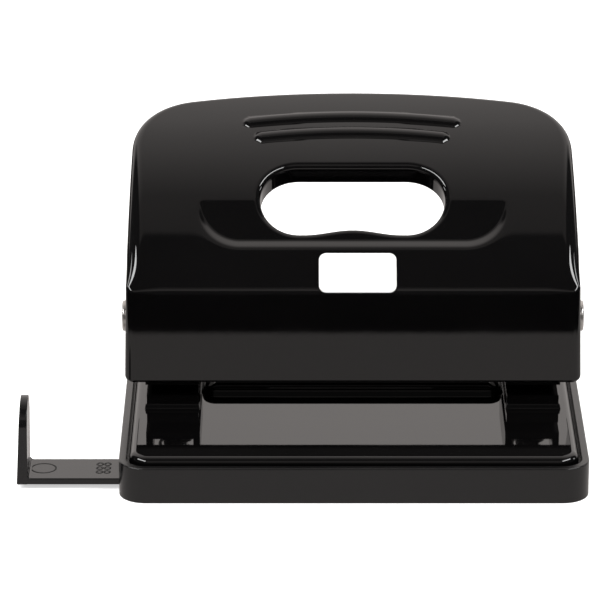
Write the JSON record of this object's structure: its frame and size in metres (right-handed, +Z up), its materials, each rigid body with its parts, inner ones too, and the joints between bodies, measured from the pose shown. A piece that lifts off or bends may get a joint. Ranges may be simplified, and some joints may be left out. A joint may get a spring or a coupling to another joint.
{
  "type": "hole punch",
  "caption": "Lever desk punch for filing holes, with a grip hole in its bowed handle, a pull-off chip tray and a sliding paper guide with an upright stop.",
  "frame": {"origin": "on the surface it stands on, under the middle of the base", "axes": "+X to the user's right, +Y away from the user towards the free end of the lever, +Z up"},
  "size_m": [0.1244, 0.084, 0.0679],
  "materials": {
    "lever_paint": "gloss black stove enamel on pressed steel",
    "plate_paint": "gloss black enamel on pressed steel",
    "tray_plastic": "moulded polystyrene, smooth, slightly worn",
    "guide_paint": "satin black strip steel",
    "bracket_steel": "zinc plated stampings",
    "rivet_steel": "bright nickel plated",
    "pin_steel": "ground hardened steel",
    "spring_steel": "drawn spring wire"
  },
  "bodies": {
    "tray": {"chip_tray": "tray_plastic"},
    "punch": {"base_plate": "plate_paint", "bracket_rivets": "rivet_steel", "left_die_plate": "bracket_steel", "left_punch_bracket": "bracket_steel", "left_pivot_rivet": "rivet_steel", "left_pivot_washer": "bracket_steel", "left_return_spring": "spring_steel", "right_die_plate": "bracket_steel", "right_punch_bracket": "bracket_steel", "right_pivot_rivet": "rivet_steel", "right_pivot_washer": "bracket_steel", "right_return_spring": "spring_steel"},
    "lever": {"lever": "lever_paint", "push_rod": "bracket_steel"},
    "left_pin": {"left_punch_pin": "pin_steel", "left_spring_collar": "bracket_steel"},
    "right_pin": {"right_punch_pin": "pin_steel", "right_spring_collar": "bracket_steel"},
    "guide": {"paper_guide": "guide_paint"}
  },
  "joints": [
    {"name": "tray_release", "type": "slide", "parent": "tray", "child": "punch", "axis": [0, 0, 1], "range_m": [0, 0.012]},
    {"name": "lever_press", "type": "hinge", "parent": "punch", "child": "lever", "pos_m": [0, -0.005, 0.0297], "axis": [-1, 0, 0], "range_deg": [0, 28], "stiffness_Nm_per_rad": 0.44, "springref_deg": -21.2},
    {"name": "left_pin_stroke", "type": "slide", "parent": "punch", "child": "left_pin", "axis": [0, 0, -1], "range_m": [0, 0.0068], "deforming": ["left_return_spring"]},
    {"name": "right_pin_stroke", "type": "slide", "parent": "punch", "child": "right_pin", "axis": [0, 0, -1], "range_m": [0, 0.0068], "deforming": ["right_return_spring"]},
    {"name": "guide_slide", "type": "slide", "parent": "tray", "child": "guide", "axis": [-1, 0, 0], "range_m": [-0.0045, 0.0765]}
  ],
  "couplings": [
    {"joint": "left_pin_stroke", "follows": "lever_press", "m_per_rad": 0.013861},
    {"joint": "right_pin_stroke", "follows": "lever_press", "m_per_rad": 0.013861}
  ]
}
